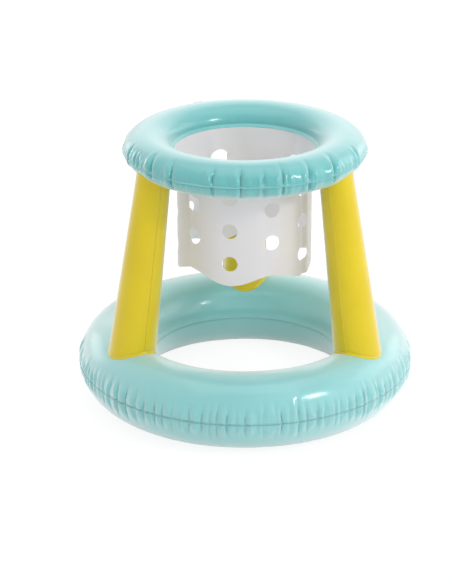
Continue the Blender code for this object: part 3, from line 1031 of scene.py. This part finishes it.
# Valves: turned mouldings with straps, each on its own body
def turnedSolid(name, outline, sides=64):
    # outline is a closed loop of (radius, height) in the valve's frame, anticlockwise, with poles at radius 0
    shape = bmesh.new()
    corners = [shape.verts.new((radius, 0, height)) for radius, height in outline]
    edges = [shape.edges.new((corners[i - 1], corners[i])) for i in range(len(outline))
             if outline[i - 1][0] > 0 or outline[i][0] > 0]
    bmesh.ops.spin(shape, geom=list(shape.verts) + edges, cent=(0, 0, 0), axis=(0, 0, 1), angle=math.tau,
                   steps=sides, use_merge=True)
    bmesh.ops.remove_doubles(shape, verts=shape.verts, dist=0.000002)
    bmesh.ops.recalc_face_normals(shape, faces=shape.faces)
    return pieceFromShape(name, shape)


def slab(name, near, far, low, high, tip=True):
    # a flat strap as wide as the tether, its far end round if it is a tip and square if not
    shape = bmesh.new()
    half = valve["tetherWidth"] / 2
    outline = []
    for i in range(13):
        angle = -math.pi / 2 + math.pi * i / 12
        outline.append((far - half + half * math.cos(angle) if tip else far, half * math.sin(angle)))
    outline += [(near, half), (near, -half)]
    kept = []
    for spot in outline:
        if not kept or (Vector(spot) - Vector(kept[-1])).length > valve["overlap"]:
            kept.append(spot)
    bottom = [shape.verts.new((x, y, low)) for x, y in kept]
    face = shape.faces.new(bottom)
    top = bmesh.ops.extrude_face_region(shape, geom=[face])
    bmesh.ops.translate(shape, vec=(0, 0, high - low),
                        verts=[item for item in top["geom"] if isinstance(item, bmesh.types.BMVert)])
    bmesh.ops.recalc_face_normals(shape, faces=shape.faces)
    return pieceFromShape(name, shape)


def rounded(outline, size, steps=3):
    # the outline's corners, each cut back to a small arc that takes less than half of either side
    most = 0.45
    count = len(outline)
    smooth = []
    for i, corner in enumerate(outline):
        before, after = Vector(outline[i - 1]), Vector(outline[(i + 1) % count])
        corner = Vector(corner)
        if corner.x < 0.000001:
            smooth.append(tuple(corner))
            continue
        back = before - corner
        on = after - corner
        reach = min(size, back.length * most, on.length * most)
        start = corner + back.normalized() * reach
        end = corner + on.normalized() * reach
        for k in range(steps + 1):
            t = k / steps
            smooth.append(tuple((1 - t) ** 2 * start + 2 * t * (1 - t) * corner + t * t * end))
    return smooth


def weldedFlange(name, place, skin):
    # a moulded washer that follows the film, with a softened rim
    sides = 96
    down = (place.to_3x3() @ Vector((0, 0, -1))).normalized()
    points = []
    for radius, share in valve["flangeProfile"]:
        for j in range(sides):
            start = place @ polar(math.tau * j / sides, radius, valve["flangeProbe"])
            hit = skin.ray_cast(start, down)
            points.append(hit[0] - down * (film["gap"] + valve["flangeThickness"] * share))
    shape = bmesh.new()
    corners = [shape.verts.new(point) for point in points]
    for face in gridFaces(len(valve["flangeProfile"]), sides, looped=True):
        shape.faces.new([corners[i] for i in face])
    bmesh.ops.recalc_face_normals(shape, faces=shape.faces)
    return pieceFromShape(name, shape)


def makeValve(prefix, place):
    v = valve
    flange = weldedFlange(prefix + "ValveFlange", place, ringSkins[prefix + "_ring_upper_panel"])
    finishPiece(flange, prefix + "_valve_flange", "valve_plastic", angle=v["sharpEdge"])

    stem = turnedSolid(prefix + "ValveStem", rounded([
        (v["stemBore"], v["stemEnd"]), (v["stemRadius"], v["stemEnd"]), (v["stemRadius"], v["collarLow"]),
        (v["collarRadius"], v["collarLow"]), (v["collarRadius"], v["collarTop"]),
        (v["stemBore"], v["collarTop"])], v["stemSoftness"]))
    lug = slab(prefix + "Lug", v["stemRadius"] - v["lugSink"], v["pivotReach"], v["collarLow"] + v["overlap"],
               v["collarTop"] - v["overlap"], tip=False)
    cut(stem, [lug], "UNION")

    recessOut, recessIn, recessDepth = v["capRecess"]
    cap = turnedSolid(prefix + "ValveStopper", rounded([
        (0.0, v["plugEnd"]), (v["plugTip"], v["plugEnd"]), (v["plugRadius"], v["capLow"]),
        (v["capRadius"], v["capLow"]), (v["capRadius"], v["capTop"]), (recessOut, v["capTop"]),
        (recessIn, v["capTop"] - recessDepth), (0.0, v["capTop"] - recessDepth)], v["capSoftness"]))
    low, high = v["capLow"] + v["overlap"], v["capLow"] + v["strapThickness"]
    strap = slab(prefix + "Strap", v["plugRadius"], v["pivotReach"] - film["gap"], low, high, tip=False)
    tab = slab(prefix + "Tab", v["plugRadius"], v["tabEnd"], low, high)
    tab.data.transform(Matrix.Rotation(math.pi, 4, "Z"))
    cut(cap, [strap, tab], "UNION")

    low, high = v["flapTop"] - v["flapThickness"], v["flapTop"]
    flap = turnedSolid(prefix + "ValveFlap", rounded([
        (0.0, low), (v["flapRadius"], low), (v["flapRadius"], high), (0.0, high)], v["flapSoftness"]))

    for part, piece in (("stem", stem), ("stopper", cap), ("flap", flap)):
        piece.data.transform(place)
        finishPiece(piece, f"{prefix}_valve_{part}", "valve_plastic", f"{prefix}_{part}", v["sharpEdge"])


for prefix, place in valvePlaces.items():
    makeValve(prefix, place)
print("valves made")


# Stage: a white floor that keeps the soft shadow, a white world, soft lamps and the camera
stage = {
    "floorSize": 8.0,
    "floorDrop": 0.0003,
    "floorColour": 0.94,
    "floorWhite": 1.06,
    "floorShare": 0.84,
    "worldLight": 0.78,
    "target": (0.0, 0.0, 0.25),
    "distance": 4.441,
    "elevation": 21.9,
    "lens": 136.97,
    "shift": (-0.0325, -0.0329),
}

# azimuth and elevation are seen from the middle of the object, in degrees
lamps = {
    "keyLamp": {"azimuth": -38, "elevation": 33, "distance": 3.0, "size": (0.56, 0.32), "power": 18},
    "backLamp": {"azimuth": 90, "elevation": 34, "distance": 2.6, "size": (3.2, 1.8), "power": 10},
    "overLamp": {"azimuth": -90, "elevation": 84, "distance": 2.4, "size": (2.6, 2.0), "power": 12},
    "rightLamp": {"azimuth": 14, "elevation": 25, "distance": 2.6, "size": (1.4, 1.2), "power": 6},
    "rightLowLamp": {"azimuth": 41, "elevation": 12, "distance": 2.6, "size": (1.2, 0.8), "power": 4},
    "leftLowLamp": {"azimuth": 137, "elevation": 11, "distance": 2.6, "size": (1.2, 0.8), "power": 5},
    "sideLamp": {"azimuth": -28, "elevation": 14, "distance": 3.0, "size": (1.8, 1.4), "power": 4},
}


def seenRays(tree):
    # 1 for what the camera sees itself, in gloss or through clear matter, and 0 for what only casts light
    rays = addNode(tree, "ShaderNodeLightPath")
    seen = result(rays, "Is Camera Ray").math("MAXIMUM", result(rays, "Is Glossy Ray"))
    return seen.math("MAXIMUM", result(rays, "Is Transmission Ray"))


def makeFloor():
    half, low = stage["floorSize"] / 2, -stage["floorDrop"]
    corners = [(-half, -half, low), (half, -half, low), (half, half, low), (-half, half, low)]
    floor = pieceFromFaces("floor", corners, [(0, 1, 2, 3)])
    material, tree, shader = newMaterial("whiteFloor")
    tree.nodes.remove(shader)
    matt = addNode(tree, "ShaderNodeBsdfDiffuse", {"Color": (stage["floorColour"],) * 3 + (1,)})
    glow = addNode(tree, "ShaderNodeEmission", {"Color": (1, 1, 1, 1), "Strength": stage["floorWhite"]})
    # the floor lights the object as a matt one, and the camera and reflections see it nearly white
    seen = seenRays(tree) * stage["floorShare"]
    both = tree.nodes.new("ShaderNodeMixShader")
    for slot, source in zip(both.inputs, (seen.socket, matt.outputs[0], glow.outputs[0])):
        tree.links.new(source, slot)
    tree.links.new(both.outputs[0], tree.nodes["Material Output"].inputs["Surface"])
    floor.data.materials.append(material)


def makeWorld():
    world = bpy.data.worlds.new("studio")
    bpy.context.scene.world = world
    world.use_nodes = True
    tree = world.node_tree
    background = tree.nodes["Background"]
    background.inputs["Color"].default_value = (1, 1, 1, 1)
    strength = seenRays(tree).ease(0.0, 1.0, stage["worldLight"], 1.0, "LINEAR")
    tree.links.new(strength.socket, background.inputs["Strength"])


def addLamp(name, azimuth, elevation, distance, size, power):
    turn, rise = math.radians(azimuth), math.radians(elevation)
    aim = Vector((math.cos(rise) * math.cos(turn), math.cos(rise) * math.sin(turn), math.sin(rise)))
    data = bpy.data.lights.new(name, "AREA")
    data.shape = "RECTANGLE"
    data.size, data.size_y = size
    data.energy = power
    lamp = newPiece(name, data)
    lamp.location = Vector(stage["target"]) + aim * distance
    lamp.rotation_euler = (-aim).to_track_quat("-Z", "Y").to_euler()


def makeCamera():
    turn = math.radians(stage["elevation"])
    data = bpy.data.cameras.new("camera")
    data.lens = stage["lens"]
    data.shift_x, data.shift_y = stage["shift"]
    camera = newPiece("camera", data)
    away = Vector((0, -math.cos(turn), math.sin(turn)))
    camera.location = Vector(stage["target"]) + away * stage["distance"]
    camera.rotation_euler = (math.pi / 2 - turn, 0, 0)
    bpy.context.scene.camera = camera


makeFloor()
makeWorld()
for name, lamp in lamps.items():
    addLamp(name, **lamp)
makeCamera()
bpy.context.scene.view_settings.view_transform = "Standard"
print("stage set")
